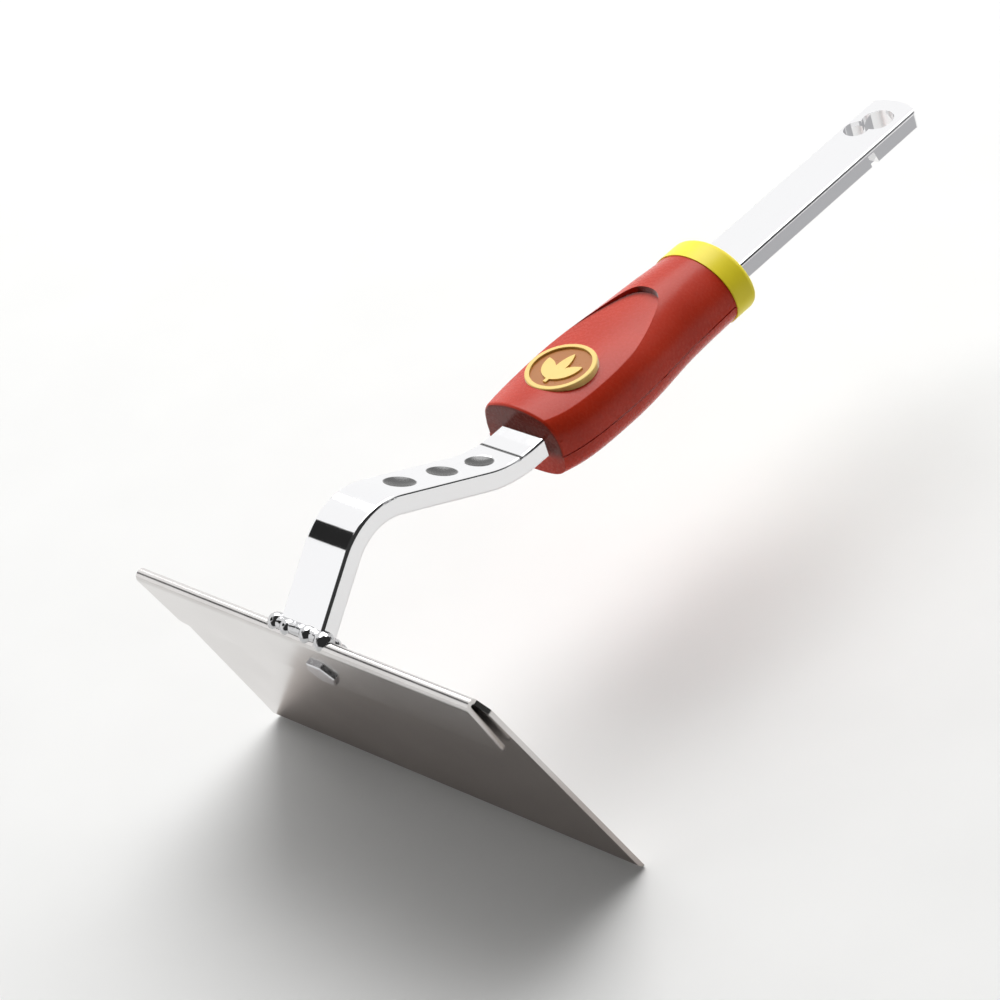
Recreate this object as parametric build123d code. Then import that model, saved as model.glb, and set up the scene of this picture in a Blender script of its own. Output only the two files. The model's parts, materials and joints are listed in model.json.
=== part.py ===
"""Quick-change draw hoe head.

A folded-edge blade hangs on a swan-neck flat bar. Inside a two-shell grip housing the neck
meets a second bar end to end. That bar runs out through a collar as a tongue with a keyhole,
which a snap-in handle locks onto.

Units are millimetres. Origin: centre of the latch hole on the top face of the tongue.
+X across the tongue, +Y along it towards its free end, +Z out of its top face.
"""
import os
from math import atan2, cos, hypot, pi, radians, sin, tan

from build123d import *

# ---- flat bar (tongue and neck) --------------------------------------------------------
BAR_WIDTH = 17.0
BAR_THICK = 6.4
BAR_EDGE_R = 1.0
TONGUE_END_Y = 10.7
TONGUE_END_R = 16.0
TONGUE_CORNER_R = 2.5
S_BEND = (-181.2, 0.0)
S_BEND_R = 40.0
CREST = (-233.9, 25.6)
CREST_R = 22.0
LEG_END = (-266.0, -4.26)
# where the two bars meet inside the housing, and the gap between their ends
JOINT_Y = -134.0
JOINT_GAP = 0.2

LATCH_HOLE_R = 5.2
LOBE_R = 4.1
LOBE_X = -3.4
LOBE_Y = -6.3

NOTCH_DEPTH = 2.4
NOTCH_PROFILE = [(-16.2, -1.5), (-13.3, -1.5), (-11.6, -7.0), (-15.2, -7.0)]

# y and radius of each dish
DIMPLES = [(-214.2, 4.6), (-199.4, 4.4), (-185.9, 4.1)]
DIMPLE_DEPTH = 0.9

# shallow line scored across the top face in front of the housing
SCORE_Y = -177.5
SCORE_R = 0.5
SCORE_DEPTH = 0.3

# ---- blade -----------------------------------------------------------------------------
BLADE_TOP = (0.0, -261.55, -0.04)
BLADE_LEAN = 19.57
BLADE_HEIGHT = 89.4
BLADE_EDGE_HALF = 75.0
BLADE_SHOULDER_HALF = 69.9
BLADE_SHOULDER_V = 5.5
BLADE_SHOULDER_R = 3.0
BLADE_TIP_R = 1.2
SHEET = 1.45
HEM_GAP = 1.15
HEM_HALF = 66.7
HEM_HEIGHT = 24.5
HEM_TAPER = 1.2
HEM_CORNER = 2.2
EDGE_BEVEL = 3.0
EDGE_LAND = 0.35

# ---- bolt through the folded edge --------------------------------------------------------
BOLT_V = 17.0
BOLT_FLATS = 9.4
BOLT_HEAD = 1.3
BOLT_R = 2.5
NUT_FLATS = 8.0
NUT_THICK = 3.2
BOLT_TAIL = 1.0
HEX_CHAMFER = 0.35

# ---- weld at the foot of the neck ---------------------------------------------------------
# y, z and radius of the beads along the front of the bar's foot and along its toe
WELD_FRONT = (-261.8, -0.9, 2.1)
WELD_TOE = (-258.4, -7.2, 1.9)
WELD_OVERRUN = 1.6
# x, y, z and radius of the lumps that the beads run into
WELD_LUMPS = [
    (-9.6, -261.6, -1.2, 2.9),
    (-4.6, -262.2, -1.0, 2.5),
    (3.4, -262.3, -0.8, 2.6),
    (9.2, -261.9, -1.6, 3.1),
    (9.3, -259.6, -5.0, 2.4),
    (-9.3, -259.8, -4.8, 2.3),
]

# ---- grip housing ------------------------------------------------------------------------
SPLIT_Z = -4.6
# y, half width, rise above the split, drop below it, squareness of the top, of the base
SECTIONS = [
    (-170.0, 14.1, 14.3, 7.9, 3.0, 3.4),
    (-163.0, 16.5, 14.1, 9.0, 2.7, 3.0),
    (-155.0, 17.9, 14.0, 10.2, 2.6, 2.6),
    (-140.0, 18.6, 14.1, 10.6, 2.6, 2.4),
    (-128.0, 18.2, 14.3, 10.4, 2.4, 2.3),
    (-117.0, 17.2, 14.5, 10.2, 2.2, 2.1),
    (-107.0, 16.5, 14.5, 10.0, 2.1, 2.0),
    (-98.0, 16.1, 14.2, 10.0, 2.0, 2.0),
    (-90.5, 15.9, 13.7, 10.0, 2.0, 2.0),
]
OUTLINE_STEPS = 16
WALL = 2.6
CAVITY_RISE = 9.0
CAVITY_SQUARENESS = 2.6
MOUTH_Y = -168.2
LIP_Y = -169.0
LIP_OVERHANG = 0.5
FIT = 0.05
# middle, length and cross size of cutters that clear the whole housing
HOUSING_Y = -130.0
HOUSING_LENGTH = 110.0
HOUSING_REACH = 20.0

# arched thumb panel: outline points from the side of the arch to its crown
ARCH = [(15.2, -148.0), (12.6, -127.0), (9.0, -115.8), (5.2, -109.2), (0.0, -107.6)]
PANEL_HALF = 18.0
# y, height at the middle and crown radius of the panel surface
PANEL_SECTIONS = [(-172.0, 9.9, 25.0), (-147.5, 8.2, 48.0), (-100.0, 7.9, 60.0)]
PANEL_FOOT_Z = 5.5
RIM_R = 1.0
GROOVE = 0.22
GROOVE_DEPTH = 0.5

RIB_YS = [-144.0, -126.0]
RIB_THICK = 2.4

SCREW_SPOTS = [(12.1, -151.0), (-12.1, -151.0), (11.8, -121.0), (-11.8, -121.0)]
SCREW_R = 1.4
SCREW_HEAD_R = 2.6
SCREW_HEAD = 1.8
SCREW_SEAT_Z = -9.0
SCREW_TIP_Z = 3.0
RECESS = (3.2, 0.8, 1.0)
BOSS_R = 2.9

PIN_YS = [-160.0, -106.0]
PIN_R = 2.5
PIN_TOP = 3.6
PIN_BASE = -9.4
PIN_BOSS_R = 4.6
PIN_CHAMFER = 0.4

# ---- collar --------------------------------------------------------------------------------
COLLAR_FRONT_Y = -90.5
COLLAR_REAR_Y = -81.0
COLLAR_HALF = 16.3
COLLAR_RISE = 14.0
COLLAR_DROP = 10.2
COLLAR_ROUND = 2.4
SPIGOT_HALF = 12.0
SPIGOT_RISE = 6.6
SPIGOT_LEN = 5.0
LIP_EXTRA = 1.2
LIP_LEN = 2.0

# ---- emblem --------------------------------------------------------------------------------
EMBLEM_Y = -147.5
EMBLEM_R = 10.9
EMBLEM_RING = 1.5
EMBLEM_ROUND = 0.4
EMBLEM_SEAT_Z = 7.0
EMBLEM_DISC_Z = 8.45
EMBLEM_RING_Z = 9.1
LEAF_Z = 8.95
# turn in degrees, length and width of each leaf of the sprout
LEAVES = [(38.0, 10.5, 4.4), (-38.0, 10.5, 4.4), (0.0, 12.5, 3.6)]
STEM_Y = -6.0
STEM = (1.2, 2.8)


# ---- helpers -------------------------------------------------------------------------------
def unit(p, q):
    """Direction from p to q in the side view."""
    length = hypot(q[0] - p[0], q[1] - p[1])
    return (q[0] - p[0]) / length, (q[1] - p[1]) / length


def inward(d):
    """Direction from the bar's top face into the bar, for a run along d."""
    return -d[1], d[0]


def meet(p, d, q, e):
    """Crossing point of two lines in the side view."""
    k = ((q[0] - p[0]) * e[1] - (q[1] - p[1]) * e[0]) / (d[0] * e[1] - d[1] * e[0])
    return p[0] + k * d[0], p[1] + k * d[1]


def shifted(p, d, depth):
    """Point p moved into the bar by depth, square to the run d."""
    n = inward(d)
    return p[0] + depth * n[0], p[1] + depth * n[1]


def cylinder_z(x, y, z0, z1, radius):
    """Upright cylinder between two heights."""
    return Pos(x, y, (z0 + z1) / 2) * Cylinder(radius, z1 - z0)


def slab_x(profile, x0, x1):
    """Side-view profile (y, z) extruded between two x positions."""
    face = Plane.YZ.offset(x0) * make_face(Polyline(*profile, close=True))
    return extrude(face, x1 - x0)


# ---- flat bar ------------------------------------------------------------------------------
TOP_START = (TONGUE_END_Y, 0.0)
RUN_TONGUE = unit(TOP_START, S_BEND)
RUN_RISE = unit(S_BEND, CREST)
RUN_LEG = unit(CREST, LEG_END)
BEND_TURN = atan2(RUN_RISE[1], -RUN_RISE[0])


def bar_path():
    """Mid line of the bar in the side view, with its two bends."""
    half = BAR_THICK / 2
    start = shifted(TOP_START, RUN_TONGUE, half)
    rise = shifted(S_BEND, RUN_RISE, half)
    end = shifted(LEG_END, RUN_LEG, half)
    low = meet(start, RUN_TONGUE, rise, RUN_RISE)
    high = meet(rise, RUN_RISE, end, RUN_LEG)
    with BuildLine(Plane.YZ) as path:
        Polyline(start, low, high, end)
        fillet(path.vertices().sort_by(Axis.Y)[2], S_BEND_R + half)
        fillet(path.vertices().sort_by(Axis.Z)[-1], CREST_R - half)
    return path.wire()


def bar_blank():
    """Rounded flat bar swept along the mid line."""
    start = Plane(origin=(0, TONGUE_END_Y, -BAR_THICK / 2), x_dir=(1, 0, 0), z_dir=(0, -1, 0))
    section = start * RectangleRounded(BAR_WIDTH, BAR_THICK, BAR_EDGE_R)
    return sweep(section, path=bar_path())


def tongue_end_waste():
    """Metal outside the shallow arc and rounded corners of the tongue's end."""
    nose = Rectangle(BAR_WIDTH, 3 * TONGUE_END_R)
    nose &= Pos(0, TONGUE_END_Y - TONGUE_END_R) * Circle(TONGUE_END_R)
    nose = fillet(nose.vertices().sort_by(Axis.Y)[-2:], TONGUE_CORNER_R)
    waste = Pos(0, TONGUE_END_Y) * Rectangle(2 * BAR_WIDTH, 5 * TONGUE_CORNER_R) - nose
    return Pos(0, 0, -BAR_THICK - 1) * extrude(waste, BAR_THICK + 2)


def keyhole():
    """Through keyhole: the latch circle and its offset lobe."""
    hole = cylinder_z(0, 0, -BAR_THICK - 1, 1, LATCH_HOLE_R)
    return hole + cylinder_z(LOBE_X, LOBE_Y, -BAR_THICK - 1, 1, LOBE_R)


def side_notch():
    """Slanted catch notch low on the right side of the tongue."""
    return slab_x(NOTCH_PROFILE, BAR_WIDTH / 2 - NOTCH_DEPTH, BAR_WIDTH / 2 + 1)


def bar_top(y):
    """Point on the top face between tongue and crest, and its outward direction."""
    turn = S_BEND_R * tan(BEND_TURN / 2)
    if y > S_BEND[0] - turn * cos(BEND_TURN):
        centre_y = S_BEND[0] + turn
        up = (centre_y - y) / S_BEND_R
        z = S_BEND_R * (1 - (1 - up * up) ** 0.5)
        return z, (up, (1 - up * up) ** 0.5)
    z = S_BEND[1] + (y - S_BEND[0]) * RUN_RISE[1] / RUN_RISE[0]
    return z, (RUN_RISE[1], -RUN_RISE[0])


def dimple(y, radius):
    """Shallow round dish pressed into the top face."""
    ball = (radius**2 + DIMPLE_DEPTH**2) / (2 * DIMPLE_DEPTH)
    z, out = bar_top(y)
    lift = ball - DIMPLE_DEPTH
    return Pos(0, y + lift * out[0], z + lift * out[1]) * Sphere(ball)


def score_line():
    """Cutter for the line across the top face."""
    z, out = bar_top(SCORE_Y)
    lift = SCORE_R - SCORE_DEPTH
    rod = Rot(0, 90, 0) * Cylinder(SCORE_R, 2 * BAR_WIDTH)
    return Pos(0, SCORE_Y + lift * out[0], z + lift * out[1]) * rod


def behind_joint(y):
    """Everything behind a cross plane at y."""
    length = 2 * (TONGUE_END_Y - y)
    return Pos(0, y + length / 2) * Box(2 * BAR_WIDTH, length, 2 * BAR_WIDTH)


def pin_hole(y):
    return cylinder_z(0, y, -BAR_THICK - 1, 1, PIN_R + FIT)


def make_tongue_bar():
    bar = bar_blank() & behind_joint(JOINT_Y + JOINT_GAP)
    return bar - tongue_end_waste() - keyhole() - side_notch() - pin_hole(PIN_YS[1])


def make_neck_bar():
    bar = bar_blank() - behind_joint(JOINT_Y) - score_line() - pin_hole(PIN_YS[0])
    for y, radius in DIMPLES:
        bar -= dimple(y, radius)
    return bar - blade_block()


# ---- blade ---------------------------------------------------------------------------------
LEAN = radians(BLADE_LEAN)
FRONT = (0, -cos(LEAN), -sin(LEAN))
BLADE = Plane(origin=BLADE_TOP, x_dir=(1, 0, 0), z_dir=FRONT)
HEM_THICK = 2 * SHEET + HEM_GAP


def blade_block():
    """Everything in front of the blade's rear face."""
    depth = 4 * HEM_THICK
    return BLADE * Pos(0, 0, depth / 2) * Box(2 * HEM_HALF, 2 * BLADE_HEIGHT, depth)


def plate_outline():
    """Blade sheet seen from the front, below the fold."""
    fold = HEM_THICK / 2
    half = BLADE_EDGE_HALF
    with BuildSketch() as sketch:
        with BuildLine():
            Polyline(
                (0, -fold),
                (HEM_HALF, -fold),
                (BLADE_SHOULDER_HALF, -BLADE_SHOULDER_V),
                (half, -BLADE_HEIGHT),
                (-half, -BLADE_HEIGHT),
                (-BLADE_SHOULDER_HALF, -BLADE_SHOULDER_V),
                (-HEM_HALF, -fold),
                (0, -fold),
            )
        make_face()
        fillet(sketch.vertices().sort_by(Axis.Y)[:2], BLADE_TIP_R)
        shoulders = sketch.vertices().filter_by(lambda v: abs(v.Y + BLADE_SHOULDER_V) < 0.1)
        fillet(shoulders, BLADE_SHOULDER_R)
    return sketch.sketch


def hem_fold():
    """Half-round fold along the top edge."""
    outer = HEM_THICK / 2
    tube = Circle(outer) - Circle(HEM_GAP / 2)
    tube &= Pos(0, outer) * Rectangle(2 * outer, 2 * outer)
    side = Plane(origin=(-HEM_HALF, -outer, outer), x_dir=(0, 0, -1), z_dir=(1, 0, 0))
    return extrude(side * tube, 2 * HEM_HALF)


def hem_flange():
    """Front leg of the folded edge."""
    fold = HEM_THICK / 2
    low = HEM_HALF - HEM_TAPER
    corners = [(HEM_HALF, -fold), (low, -HEM_HEIGHT), (-low, -HEM_HEIGHT), (-HEM_HALF, -fold)]
    face = make_face(Polyline(*corners, close=True))
    face = fillet(face.vertices().sort_by(Axis.Y)[:2], HEM_CORNER)
    return Pos(0, 0, SHEET + HEM_GAP) * extrude(face, SHEET)


def edge_grind():
    """Wedge ground off the front of the cutting edge."""
    profile = [
        (-BLADE_HEIGHT - 1, EDGE_LAND),
        (-BLADE_HEIGHT, EDGE_LAND),
        (-BLADE_HEIGHT + EDGE_BEVEL, SHEET),
        (-BLADE_HEIGHT + EDGE_BEVEL, SHEET + 1),
        (-BLADE_HEIGHT - 1, SHEET + 1),
    ]
    return slab_x(profile, -BLADE_EDGE_HALF - 1, BLADE_EDGE_HALF + 1)


def make_blade():
    blade = extrude(plate_outline(), SHEET) - edge_grind()
    blade += hem_fold()
    blade += hem_flange()
    blade -= Pos(0, -BOLT_V, HEM_THICK / 2) * Cylinder(BOLT_R + FIT, 2 * HEM_THICK)
    return BLADE * blade


# ---- bolt and nut through the folded edge -----------------------------------------------------
def hex_prism(flats, thick):
    """Hexagonal prism standing on the blade's plane."""
    return extrude(RegularPolygon(flats / 2, 6, major_radius=False), thick)


def make_hem_bolt():
    head = Pos(0, 0, HEM_THICK) * hex_prism(BOLT_FLATS, BOLT_HEAD)
    head = chamfer(head.faces().sort_by(Axis.Z)[-1].edges(), HEX_CHAMFER)
    length = HEM_THICK + NUT_THICK + BOLT_TAIL
    shank = Pos(0, 0, HEM_THICK - length / 2) * Cylinder(BOLT_R, length)
    return BLADE * Pos(0, -BOLT_V, 0) * (head + shank)


def make_hem_nut():
    nut = Pos(0, 0, -NUT_THICK) * hex_prism(NUT_FLATS, NUT_THICK)
    nut = chamfer(nut.faces().sort_by(Axis.Z)[0].edges(), HEX_CHAMFER)
    nut -= Cylinder(BOLT_R + FIT, 4 * NUT_THICK)
    return BLADE * Pos(0, -BOLT_V, 0) * nut


# ---- weld ----------------------------------------------------------------------------------
def bead(p, q, radius):
    """Round bead between two points."""
    run = Vector(*q) - Vector(*p)
    rod = extrude(Plane(origin=p, z_dir=run) * Circle(radius), run.length)
    return rod + Pos(*p) * Sphere(radius) + Pos(*q) * Sphere(radius)


def weld_beads():
    """Ring of beads round the bar's foot, with the lumps they run into."""
    side = BAR_WIDTH / 2 + WELD_OVERRUN
    beads = []
    for y, z, radius in (WELD_FRONT, WELD_TOE):
        beads.append(bead((-side, y, z), (side, y, z), radius))
    for x in (1 - side, side - 1):
        beads.append(bead((x, *WELD_FRONT[:2]), (x, *WELD_TOE[:2]), WELD_TOE[2]))
    beads += [Pos(x, y, z) * Sphere(radius) for x, y, z, radius in WELD_LUMPS]
    return beads[0] + beads[1:]


def make_foot_weld():
    blade = extrude(plate_outline(), SHEET) + hem_fold() + hem_flange()
    weld = weld_beads() - bar_blank() - BLADE * blade
    return weld.solids().sort_by(SortBy.VOLUME)[-1]


# ---- grip housing ----------------------------------------------------------------------------
def half_oval(y, half_width, height, squareness):
    """Half of a squared oval standing on the split plane at y; negative height hangs below."""
    power = 2 / squareness
    points = []
    for i in range(OUTLINE_STEPS + 1):
        angle = pi * i / OUTLINE_STEPS
        x = half_width * abs(cos(angle)) ** power
        if i > OUTLINE_STEPS / 2:
            x = -x
        z = SPLIT_Z + height * abs(sin(angle)) ** power
        points.append((x, y, z))
    points[0] = (half_width, y, SPLIT_Z)
    points[-1] = (-half_width, y, SPLIT_Z)
    rise = (0, 0, 1 if height > 0 else -1)
    fall = (0, 0, -rise[2])
    curve = Spline(*points, tangents=[rise, fall])
    return make_face(curve + Line(points[-1], points[0]))


def upper_blank(inset=0):
    return loft([half_oval(y, w - inset, up - inset, sq) for y, w, up, down, sq, sb in SECTIONS])


def lower_blank(inset=0):
    return loft([half_oval(y, w - inset, inset - down, sb) for y, w, up, down, sq, sb in SECTIONS])


def parting_groove(core):
    """Thin band round the split plane, outside the core."""
    band = Box(2 * HOUSING_REACH, HOUSING_LENGTH, 2 * GROOVE)
    return Pos(0, HOUSING_Y, SPLIT_Z) * band - core


def upper_cavity():
    sizes = [(y, w - WALL) for y, w, up, down, sq, sb in SECTIONS[1:-1]]
    return loft([half_oval(y, w, CAVITY_RISE, CAVITY_SQUARENESS) for y, w in sizes])


def lower_cavity():
    inner = SECTIONS[1:-1]
    return loft([half_oval(y, w - WALL, WALL - down, sb) for y, w, up, down, sq, sb in inner])


def panel_waste():
    """Material above the thumb panel, inside its arched outline."""
    faces = []
    for y, middle, crown in PANEL_SECTIONS:
        side = middle - crown + (crown**2 - PANEL_HALF**2) ** 0.5
        right, left = (PANEL_HALF, y, side), (-PANEL_HALF, y, side)
        arc = ThreePointArc(left, (0, y, middle), right)
        top = HOUSING_REACH
        roof = Polyline(right, (PANEL_HALF, y, top), (-PANEL_HALF, y, top), left)
        faces.append(make_face(arc + roof))
    above = loft(faces)
    right = Spline(*ARCH, tangents=[(0, 1), (-1, 0)])
    left = mirror(right, Plane.YZ)
    x, y = ARCH[0]
    far = PANEL_SECTIONS[0][0]
    front = [(PANEL_HALF, y), (PANEL_HALF, far), (-PANEL_HALF, far), (-PANEL_HALF, y)]
    plan = make_face(right + left + Polyline((x, y), *front, (-x, y)))
    return above & extrude(plan, HOUSING_REACH)


def front_waste():
    """Material in front of the housing's sloping front face."""
    clear = LIP_Y - HOUSING_REACH
    profile = [
        (clear, HOUSING_REACH),
        (LIP_Y - LIP_OVERHANG, HOUSING_REACH),
        (MOUTH_Y, 0),
        (MOUTH_Y, -BAR_THICK),
        (LIP_Y, -HOUSING_REACH),
        (clear, -HOUSING_REACH),
    ]
    return slab_x(profile, -HOUSING_REACH, HOUSING_REACH)


def bar_slot():
    """Straight channel for the bar, with running clearance."""
    slot = Box(BAR_WIDTH + 2 * FIT, HOUSING_LENGTH, BAR_THICK + 2 * FIT)
    return Pos(0, HOUSING_Y, -BAR_THICK / 2) * slot


def ribs(outer):
    """Cross walls that carry the bar."""
    wide = 2 * HOUSING_REACH
    walls = [Pos(0, y, SPLIT_Z) * Box(wide, RIB_THICK, wide) for y in RIB_YS]
    return outer & (walls[0] + walls[1:])


def bosses(outer):
    """Screw bosses beside the bar and pin bosses on its middle line."""
    low, high = -HOUSING_REACH, HOUSING_REACH
    posts = [cylinder_z(x, y, low, high, BOSS_R) for x, y in SCREW_SPOTS]
    posts += [cylinder_z(0, y, low, high, PIN_BOSS_R) for y in PIN_YS]
    return outer & (posts[0] + posts[1:])


def is_rim(edge):
    """Ridges of the thumb panel and rim of the front face, except on the split plane."""
    box = edge.bounding_box()
    ridge = box.min.Z > PANEL_FOOT_Z and box.max.Y < ARCH[1][1]
    lip = box.max.Y < MOUTH_Y + 0.1 and box.size.Z > 0.5
    return ridge or lip


def make_upper_housing():
    outer = upper_blank() - panel_waste() - front_waste()
    outer = fillet(outer.edges().filter_by(is_rim), RIM_R)
    shell = outer - upper_cavity() + ribs(outer) + bosses(outer)
    shell -= bar_slot() + collar_spigot(FIT) + parting_groove(upper_blank(GROOVE_DEPTH))
    for x, y in SCREW_SPOTS:
        shell -= cylinder_z(x, y, SPLIT_Z - 1, SCREW_TIP_Z + FIT, SCREW_R + FIT)
    for y in PIN_YS:
        shell -= cylinder_z(0, y, SPLIT_Z - 1, PIN_TOP + FIT, PIN_R + FIT)
    return shell - cylinder_z(0, EMBLEM_Y, EMBLEM_SEAT_Z, HOUSING_REACH, EMBLEM_R + FIT)


def make_lower_housing():
    outer = lower_blank() - front_waste()
    shell = outer - lower_cavity() + ribs(outer) + bosses(outer)
    shell -= bar_slot() + collar_spigot(FIT) + parting_groove(lower_blank(GROOVE_DEPTH))
    for x, y in SCREW_SPOTS:
        shell -= cylinder_z(x, y, -HOUSING_REACH, SPLIT_Z + 1, SCREW_R + FIT)
        shell -= cylinder_z(x, y, -HOUSING_REACH, SCREW_SEAT_Z, SCREW_HEAD_R + 4 * FIT)
    for y in PIN_YS:
        shell -= cylinder_z(0, y, PIN_BASE - FIT, SPLIT_Z + 1, PIN_R + FIT)
    return shell


# ---- housing fasteners -------------------------------------------------------------------------
def make_screw(x, y):
    head = cylinder_z(x, y, SCREW_SEAT_Z - SCREW_HEAD, SCREW_SEAT_Z, SCREW_HEAD_R)
    head = fillet(head.edges().sort_by(Axis.Z)[0], SCREW_HEAD / 3)
    shank = cylinder_z(x, y, SCREW_SEAT_Z, SCREW_TIP_Z, SCREW_R)
    long, narrow, deep = RECESS
    cross = Box(long, narrow, 2 * deep) + Box(narrow, long, 2 * deep)
    return head + shank - Pos(x, y, SCREW_SEAT_Z - SCREW_HEAD) * cross


def make_pin(y):
    pin = cylinder_z(0, y, PIN_BASE, PIN_TOP, PIN_R)
    return chamfer(pin.edges().filter_by(GeomType.CIRCLE), PIN_CHAMFER)


# ---- collar --------------------------------------------------------------------------------
def oval_y(half_width, half_height, y0, y1):
    """Oval prism round the bar between two y positions."""
    plane = Plane(origin=(0, y0, -BAR_THICK / 2), x_dir=(1, 0, 0), z_dir=(0, 1, 0))
    return extrude(plane * Ellipse(half_width, half_height), y1 - y0)


def collar_spigot(grow):
    """Spigot and retaining lip in front of the collar, grown all round."""
    neck_y = COLLAR_FRONT_Y - SPIGOT_LEN
    lip_y = neck_y - LIP_LEN
    spigot = oval_y(SPIGOT_HALF + grow, SPIGOT_RISE + grow, neck_y - grow, COLLAR_FRONT_Y)
    wide = SPIGOT_HALF + LIP_EXTRA + grow
    tall = SPIGOT_RISE + LIP_EXTRA + grow
    return spigot + oval_y(wide, tall, lip_y - grow, neck_y + grow)


def make_collar():
    rear = Plane(origin=(0, COLLAR_REAR_Y, SPLIT_Z), x_dir=(1, 0, 0), z_dir=(0, -1, 0))
    top = EllipticalCenterArc((0, 0), COLLAR_HALF, COLLAR_RISE, 0, arc_size=180)
    base = EllipticalCenterArc((0, 0), COLLAR_HALF, COLLAR_DROP, 180, arc_size=180)
    ring = extrude(rear * make_face(top + base), COLLAR_REAR_Y - COLLAR_FRONT_Y)
    ring = fillet(ring.faces().sort_by(Axis.Y)[-1].edges(), COLLAR_ROUND)
    return ring + collar_spigot(0) - bar_slot()


# ---- emblem --------------------------------------------------------------------------------
def make_emblem_ring():
    ring = cylinder_z(0, EMBLEM_Y, EMBLEM_SEAT_Z, EMBLEM_RING_Z, EMBLEM_R)
    ring = fillet(ring.edges().sort_by(Axis.Z)[-1], EMBLEM_ROUND)
    inner = EMBLEM_R - EMBLEM_RING
    return ring - cylinder_z(0, EMBLEM_Y, EMBLEM_SEAT_Z - 1, EMBLEM_RING_Z + 1, inner)


def make_emblem_disc():
    return cylinder_z(0, EMBLEM_Y, EMBLEM_SEAT_Z, EMBLEM_DISC_Z, EMBLEM_R - EMBLEM_RING - FIT)


def leaf(angle, length, width):
    """Pointed leaf between two arcs, growing from the stem."""
    tip = (0, length)
    bulge = width / 2
    right = ThreePointArc((0, 0), (bulge, length / 2), tip)
    left = ThreePointArc(tip, (-bulge, length / 2), (0, 0))
    return Rot(0, 0, angle) * make_face(right + left)


def make_emblem_leaf():
    sprout = Rectangle(*STEM)
    for angle, length, width in LEAVES:
        sprout += leaf(angle, length, width)
    sprout = Pos(0, EMBLEM_Y + STEM_Y, EMBLEM_DISC_Z) * sprout
    return extrude(sprout, LEAF_Z - EMBLEM_DISC_Z)


# ---- assembly --------------------------------------------------------------------------------
def all_parts():
    parts = {
        "tongue_bar": make_tongue_bar(),
        "neck_bar": make_neck_bar(),
        "blade": make_blade(),
        "foot_weld": make_foot_weld(),
        "hem_bolt": make_hem_bolt(),
        "hem_nut": make_hem_nut(),
        "upper_housing": make_upper_housing(),
        "lower_housing": make_lower_housing(),
        "collar": make_collar(),
        "emblem_ring": make_emblem_ring(),
        "emblem_disc": make_emblem_disc(),
        "emblem_leaf": make_emblem_leaf(),
    }
    for i, (x, y) in enumerate(SCREW_SPOTS, start=1):
        parts[f"housing_screw_{i}"] = make_screw(x, y)
    for i, y in enumerate(PIN_YS, start=1):
        parts[f"locking_pin_{i}"] = make_pin(y)
    return parts


os.makedirs("parts", exist_ok=True)
for name, shape in all_parts().items():
    export_step(shape, f"parts/{name}.step")
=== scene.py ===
import json
from math import radians

import bpy
from mathutils import Euler, Matrix, Vector


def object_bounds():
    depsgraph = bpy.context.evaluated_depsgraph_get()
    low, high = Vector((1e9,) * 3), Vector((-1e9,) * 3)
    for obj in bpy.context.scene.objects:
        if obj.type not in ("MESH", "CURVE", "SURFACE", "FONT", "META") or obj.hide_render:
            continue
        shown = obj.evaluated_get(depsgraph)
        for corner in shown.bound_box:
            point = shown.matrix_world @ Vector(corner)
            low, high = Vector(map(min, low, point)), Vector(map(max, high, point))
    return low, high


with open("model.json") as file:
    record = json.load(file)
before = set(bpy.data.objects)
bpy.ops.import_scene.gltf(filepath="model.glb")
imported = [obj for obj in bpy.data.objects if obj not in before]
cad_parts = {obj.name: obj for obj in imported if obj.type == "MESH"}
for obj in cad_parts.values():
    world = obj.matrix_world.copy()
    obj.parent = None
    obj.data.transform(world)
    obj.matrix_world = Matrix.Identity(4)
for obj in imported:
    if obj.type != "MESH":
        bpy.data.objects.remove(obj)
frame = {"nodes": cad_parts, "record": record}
start_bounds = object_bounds()

MM = 0.001


# ---- node helpers -----------------------------------------------------------------------
# A Mix node has its sockets in a fixed order: the two inputs and the output of each kind.
MIX_SOCKETS = {"FLOAT": (2, 3, 0), "RGBA": (6, 7, 2)}


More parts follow.
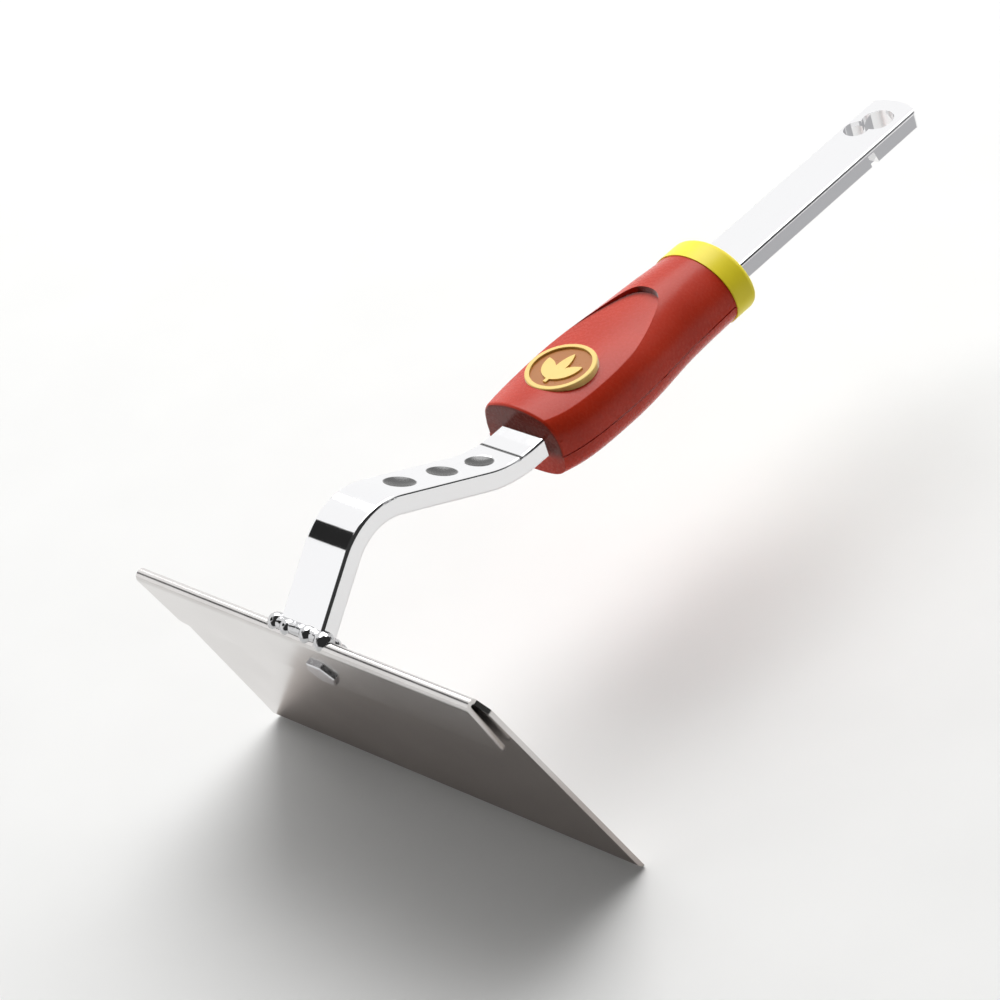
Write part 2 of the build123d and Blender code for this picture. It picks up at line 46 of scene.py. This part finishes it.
class Wiring:
    """Adds nodes to a tree; each input takes a plain value or another node's output."""

    def __init__(self, tree):
        self.tree = tree

    def node(self, kind, **settings):
        made = self.tree.nodes.new(kind)
        for key, value in settings.items():
            setattr(made, key, value)
        return made

    def feed(self, target, value):
        """Fills an input; a plain colour is red, green and blue."""
        if isinstance(value, bpy.types.NodeSocket):
            self.tree.links.new(value, target)
        elif target.type == "RGBA":
            target.default_value = (*value, 1.0)
        else:
            target.default_value = value

    def math(self, operation, first, second=0.0, clamp=False):
        made = self.node("ShaderNodeMath", operation=operation, use_clamp=clamp)
        self.feed(made.inputs[0], first)
        self.feed(made.inputs[1], second)
        return made.outputs["Value"]

    def vector_math(self, operation, first, second):
        """An operation on two vectors that gives a number."""
        made = self.node("ShaderNodeVectorMath", operation=operation)
        self.feed(made.inputs[0], first)
        self.feed(made.inputs[1], second)
        return made.outputs["Value"]

    def axis(self, vector, name):
        """One of a vector's X, Y and Z."""
        made = self.node("ShaderNodeSeparateXYZ")
        self.feed(made.inputs["Vector"], vector)
        return made.outputs[name]

    def remap(self, value, low, high, start=0.3, end=0.7, shape="LINEAR"):
        """Runs from low to high while the value runs from start to end.

        The default start and end suit a noise, which mostly stays between them.
        """
        made = self.node("ShaderNodeMapRange", interpolation_type=shape)
        self.feed(made.inputs["Value"], value)
        self.feed(made.inputs["From Min"], start)
        self.feed(made.inputs["From Max"], end)
        self.feed(made.inputs["To Min"], low)
        self.feed(made.inputs["To Max"], high)
        return made.outputs["Result"]

    def mix(self, kind, mask, outside, inside):
        """The outside value where the mask is 0 and the inside one where it is 1."""
        first, second, result = MIX_SOCKETS[kind]
        made = self.node("ShaderNodeMix", data_type=kind)
        self.feed(made.inputs["Factor"], mask)
        self.feed(made.inputs[first], outside)
        self.feed(made.inputs[second], inside)
        return made.outputs[result]

    def mix_numbers(self, mask, outside, inside):
        return self.mix("FLOAT", mask, outside, inside)

    def mix_colors(self, mask, outside, inside):
        return self.mix("RGBA", mask, outside, inside)


class Shader(Wiring):
    """A Principled material with procedural detail; lengths are in millimetres."""

    def __init__(self, name, metallic=0.0):
        self.material = bpy.data.materials.new(name)
        self.material.use_nodes = True
        super().__init__(self.material.node_tree)
        self.bsdf = self.tree.nodes["Principled BSDF"]
        self.set("Metallic", metallic)
        self.normal = None

    def set(self, socket, value):
        self.feed(self.bsdf.inputs[socket], value)

    def coords(self, stretch=(1, 1, 1)):
        """Object coordinates in millimetres, multiplied by a factor on each axis."""
        mapping = self.node("ShaderNodeMapping")
        self.feed(mapping.inputs["Vector"], self.node("ShaderNodeTexCoord").outputs["Object"])
        self.feed(mapping.inputs["Scale"], [factor / MM for factor in stretch])
        return mapping.outputs["Vector"]

    def noise(self, vector, scale, detail):
        made = self.node("ShaderNodeTexNoise")
        self.feed(made.inputs["Vector"], vector)
        self.feed(made.inputs["Scale"], scale)
        self.feed(made.inputs["Detail"], detail)
        return made.outputs["Fac"]

    def facing(self, direction, start, end):
        """1 where the surface faces a direction of the row frame; start and end are cosines."""
        normal = self.node("ShaderNodeTexCoord").outputs["Normal"]
        return self.remap(self.vector_math("DOT_PRODUCT", normal, direction), 0.0, 1.0, start, end)

    def drift(self, scale, detail, dark, light):
        """A colour that wanders slowly between two close shades."""
        clouds = self.noise(self.coords(), scale, detail)
        return self.mix_colors(self.remap(clouds, 0.0, 1.0), dark, light)

    def add_bump(self, height, strength, depth):
        """Fine relief on top of any that the surface already has."""
        made = self.node("ShaderNodeBump")
        self.feed(made.inputs["Height"], height)
        self.feed(made.inputs["Strength"], strength)
        self.feed(made.inputs["Distance"], depth * MM)
        if self.normal is not None:
            self.feed(made.inputs["Normal"], self.normal)
        self.normal = made.outputs["Normal"]
        self.set("Normal", self.normal)


# ---- metal finishes ---------------------------------------------------------------------
# Marks on the neck's top face, in millimetres: each pressed mark's centre and radius, the place
# along the bar and half width of a dark line that is a painted reflection of the housing's front
# face in the bend, and how far their edges fade. The pressed marks get painted shade for their
# hollows.
# The line stays on the top face, which looks in the direction of the last constant below.
PRESSED_MARKS = [((0, -214.0, 16.0), 4.9), ((0, -199.2, 8.8), 4.7), ((0, -185.8, 2.5), 4.4)]
MARK_FADE = 0.35
REFLECTED_LINE_Y = -177.5
REFLECTED_LINE_HALF_WIDTH = 0.45
REFLECTED_LINE_FADE = 0.15
REFLECTED_LINE_FACE = (0, 0.2, 0.98)


def mark_shade_and_line_reflection_mask(shader):
    """1 inside the pressed marks (painted shade) and in the painted reflection line, 0 on the rest
    of the bar.
    """
    where = shader.coords()
    from_reflected_line = shader.math("ABSOLUTE", shader.math("SUBTRACT", shader.axis(where, "Y"), REFLECTED_LINE_Y))
    reflected_line = shader.remap(from_reflected_line, 1.0, 0.0, REFLECTED_LINE_HALF_WIDTH, REFLECTED_LINE_HALF_WIDTH + REFLECTED_LINE_FADE)
    mask = shader.math("MULTIPLY", reflected_line, shader.facing(REFLECTED_LINE_FACE, start=0.4, end=0.6))
    for centre, radius in PRESSED_MARKS:
        from_centre = shader.vector_math("DISTANCE", where, centre)
        mark = shader.remap(from_centre, 1.0, 0.0, radius - MARK_FADE, radius)
        mask = shader.math("ADD", mask, mark, clamp=True)
    return mask


def plated_steel():
    """Bright plated flat bar: faint waves, drawing lines along it, dull pressed marks with painted
    shade, and a painted reflection line across the bend.
    """
    shader = Shader("plated_steel", metallic=1.0)
    waves = shader.noise(shader.coords(), scale=0.12, detail=2.0)
    shader.add_bump(waves, strength=0.10, depth=0.2)
    lines = shader.noise(shader.coords(stretch=(6.0, 0.12, 6.0)), scale=1.0, detail=4.0)
    shader.add_bump(lines, strength=0.03, depth=0.015)
    grain = shader.noise(shader.coords(), scale=1.4, detail=4.0)
    mask = mark_shade_and_line_reflection_mask(shader)
    bright = shader.remap(lines, low=0.03, high=0.08)
    dull = shader.remap(grain, low=0.2, high=0.34)
    shader.set("Roughness", shader.mix_numbers(mask, outside=bright, inside=dull))
    # Near-black base colour in the marks and the line: painted shade in the pressed hollows and a
    # painted reflection of the housing's front face in the bend.
    tint = shader.mix_colors(mask, outside=(0.88, 0.88, 0.89), inside=(0.10, 0.10, 0.10))
    shader.set("Base Color", tint)
    return shader.material


def blade_steel():
    """Plated sheet with a satin, slightly clouded surface and fine lines across it."""
    shader = Shader("blade_steel", metallic=1.0)
    tint = shader.drift(scale=0.05, detail=3.0, dark=(0.65, 0.63, 0.62), light=(0.71, 0.69, 0.68))
    shader.set("Base Color", tint)
    lines = shader.noise(shader.coords(stretch=(0.15, 5.0, 5.0)), scale=1.0, detail=4.0)
    shader.set("Roughness", shader.remap(lines, low=0.17, high=0.24))
    shader.add_bump(lines, strength=0.02, depth=0.02)
    return shader.material


def weld_metal():
    """Plated weld: glossy, with soft lumps."""
    shader = Shader("weld_metal", metallic=1.0)
    shader.set("Base Color", (0.58, 0.58, 0.59))
    lumps = shader.noise(shader.coords(), scale=0.3, detail=1.5)
    shader.set("Roughness", shader.remap(lumps, low=0.05, high=0.12))
    shader.add_bump(lumps, strength=0.6, depth=1.0)
    return shader.material


def fastener_steel():
    """Zinc-plated fasteners."""
    shader = Shader("fastener_steel", metallic=1.0)
    shader.set("Base Color", (0.74, 0.74, 0.76))
    grain = shader.noise(shader.coords(), scale=1.5, detail=4.0)
    shader.set("Roughness", shader.remap(grain, low=0.16, high=0.28))
    shader.add_bump(grain, strength=0.1, depth=0.04)
    return shader.material


# ---- plastic finishes -------------------------------------------------------------------
# Painted shade on the red shells' front ends fades in over this span of heights, at the parting
# line; millimetres.
SHADE_FROM_Z = -6.5
SHADE_TO_Z = -3.5


class Moulded(Shader):
    """Satin moulded plastic with slight colour drift and a fine skin."""

    def __init__(self, name, dark, light, roughness, gloss=0.3):
        super().__init__(name)
        self.set("Specular IOR Level", gloss)
        self.tint = self.drift(scale=0.06, detail=3.0, dark=dark, light=light)
        self.set("Base Color", self.tint)
        skin = self.noise(self.coords(), scale=0.9, detail=2.0)
        self.set("Roughness", self.remap(skin, low=roughness - 0.03, high=roughness + 0.03))
        self.add_bump(skin, strength=0.02, depth=0.03)


def red_plastic():
    """Red shells; above the parting line, the faces that look at the blade get painted shade."""
    dark, light = (0.50, 0.030, 0.010), (0.57, 0.038, 0.013)
    shader = Moulded("red_plastic", dark, light, roughness=0.27, gloss=0.22)
    above = shader.remap(shader.axis(shader.coords(), "Z"), 0.0, 1.0, SHADE_FROM_Z, SHADE_TO_Z)
    front = shader.facing((0, -1, 0), start=0.8, end=0.93)
    mask = shader.math("MULTIPLY", front, above)
    # Dark brownish red on the faces that look at the blade: painted shade on the front face and
    # the panel's step, which face away from the light.
    shader.set("Base Color", shader.mix_colors(mask, shader.tint, inside=(0.19, 0.028, 0.017)))
    return shader.material


def yellow_plastic():
    """Yellow collar."""
    dark, light = (0.92, 0.76, 0.02), (0.96, 0.81, 0.03)
    return Moulded("yellow_plastic", dark, light, roughness=0.34).material


def emblem_rim():
    """Gilt-coloured rim and leaf of the badge."""
    dark, light = (0.88, 0.63, 0.17), (0.93, 0.69, 0.22)
    return Moulded("emblem_rim", dark, light, roughness=0.3).material


def emblem_field():
    """Brown field of the badge."""
    dark, light = (0.42, 0.14, 0.02), (0.48, 0.18, 0.03)
    return Moulded("emblem_field", dark, light, roughness=0.3).material


FINISHES = {
    "plated_steel": plated_steel(),
    "blade_steel": blade_steel(),
    "weld_metal": weld_metal(),
    "fastener_steel": fastener_steel(),
    "red_plastic": red_plastic(),
    "yellow_plastic": yellow_plastic(),
    "emblem_rim": emblem_rim(),
    "emblem_field": emblem_field(),
}


def finish_pieces():
    """Gives each CAD piece its finish, and leaves the red shells out of reflections."""
    for part in frame["record"]["subparts"]:
        slot = part["material_slot"]
        piece = frame["nodes"][part["node"]]
        piece.data.materials.clear()
        piece.data.materials.append(FINISHES[slot])
        piece.visible_glossy = slot != "red_plastic"


# ---- stage, in metres -------------------------------------------------------------------
MIDDLE = Vector((0, -130 * MM, 0))
FLOOR_RADIUS = 1.7
FLOOR_GAP = 0.06 * MM
FLOOR_Z = start_bounds[0][2] - FLOOR_GAP
CARD_LIFT = 1 * MM


def add_floor():
    """Plain round floor just under the cutting edge."""
    bpy.ops.mesh.primitive_circle_add(
        vertices=96,
        radius=FLOOR_RADIUS,
        fill_type="NGON",
        location=(MIDDLE.x, MIDDLE.y, FLOOR_Z),
    )
    floor = bpy.context.object
    floor.name = "floor"
    shader = Shader("floor_paint")
    shader.set("Roughness", 0.85)
    tint = shader.drift(scale=0.02, detail=2.0, dark=(0.85, 0.85, 0.84), light=(0.87, 0.87, 0.86))
    shader.set("Base Color", tint)
    floor.data.materials.append(shader.material)


def add_reflection_card(name, x, y, width, length, shade):
    """Grey card lying on the floor, seen only in reflections, where it paints a dark reflection on
    the metal.
    """
    bpy.ops.mesh.primitive_plane_add(size=1.0, location=(x, y, FLOOR_Z + CARD_LIFT))
    card = bpy.context.object
    card.name = name
    card.scale = (width, length, 1.0)
    shader = Shader(name + "_paint")
    shader.set("Base Color", shade)
    shader.set("Roughness", 0.9)
    card.data.materials.append(shader.material)
    card.visible_camera = False
    card.visible_diffuse = False
    card.visible_shadow = False


def add_key_light():
    """Square soft light above, aimed at the middle of the head."""
    data = bpy.data.lights.new("key", "AREA")
    data.shape = "SQUARE"
    data.size = 1.2
    data.energy = 17
    lamp = bpy.data.objects.new("key", data)
    bpy.context.collection.objects.link(lamp)
    lamp.location = (-0.5, 0.5, 1.3)
    lamp.rotation_euler = (lamp.location - MIDDLE).to_track_quat("Z", "Y").to_euler()


def add_surround():
    """Bright surround for reflections, dark in three places; the camera sees plain white."""
    world = bpy.data.worlds.new("studio")
    bpy.context.scene.world = world
    world.use_nodes = True
    wiring = Wiring(world.node_tree)
    sky = wiring.node("ShaderNodeTexCoord").outputs["Generated"]
    rays = wiring.node("ShaderNodeLightPath").outputs

    def toward(direction, start, end, low, high):
        """Strength that runs from low to high towards a direction; start and end are cosines."""
        nearness = wiring.vector_math("DOT_PRODUCT", sky, direction)
        return wiring.remap(nearness, low, high, start, end, shape="SMOOTHSTEP")

    viewer_side = toward((0.66, -0.49, 0.57), start=0.15, end=0.45, low=1.05, high=0.04)
    front_gap = toward((-0.66, -0.32, 0.68), start=0.981, end=0.985, low=1.0, high=0.02)
    right_gap = toward((0.50, 0.855, 0.13), start=0.93, end=0.97, low=1.0, high=0.05)
    raised = wiring.mix_numbers(rays["Is Diffuse Ray"], outside=1.0, inside=1.5)
    strength = viewer_side
    for factor in (front_gap, right_gap, raised):
        strength = wiring.math("MULTIPLY", strength, factor)
    background = world.node_tree.nodes["Background"]
    wiring.feed(background.inputs["Color"], (1.0, 1.0, 1.0))
    seen = wiring.mix_numbers(rays["Is Camera Ray"], outside=strength, inside=1.0)
    wiring.feed(background.inputs["Strength"], seen)


def add_camera():
    """The photograph's viewpoint, solved in the row frame."""
    data = bpy.data.cameras.new("view")
    data.sensor_width = 36.0
    data.lens = 135.4
    data.clip_end = 20.0
    camera = bpy.data.objects.new("view", data)
    bpy.context.collection.objects.link(camera)
    place = Vector((0.705958, -0.708162, 0.600393))
    turn = Euler([radians(angle) for angle in (53.63252, 15.17618, 42.45608)])
    camera.matrix_world = Matrix.LocRotScale(place, turn, None)
    bpy.context.scene.camera = camera


bpy.context.scene.view_settings.view_transform = "Standard"
finish_pieces()
add_floor()
# Both cards paint dark reflections; the front one stands in for the floor in shade in front of the
# blade.
add_reflection_card("front_reflection_card", x=0.055, y=-0.2385, width=0.26, length=0.049, shade=(0.52, 0.48, 0.455))
add_reflection_card("rear_reflection_card", x=0.13, y=0.06, width=0.17, length=0.15, shade=(0.42, 0.42, 0.43))
add_key_light()
add_surround()
add_camera()
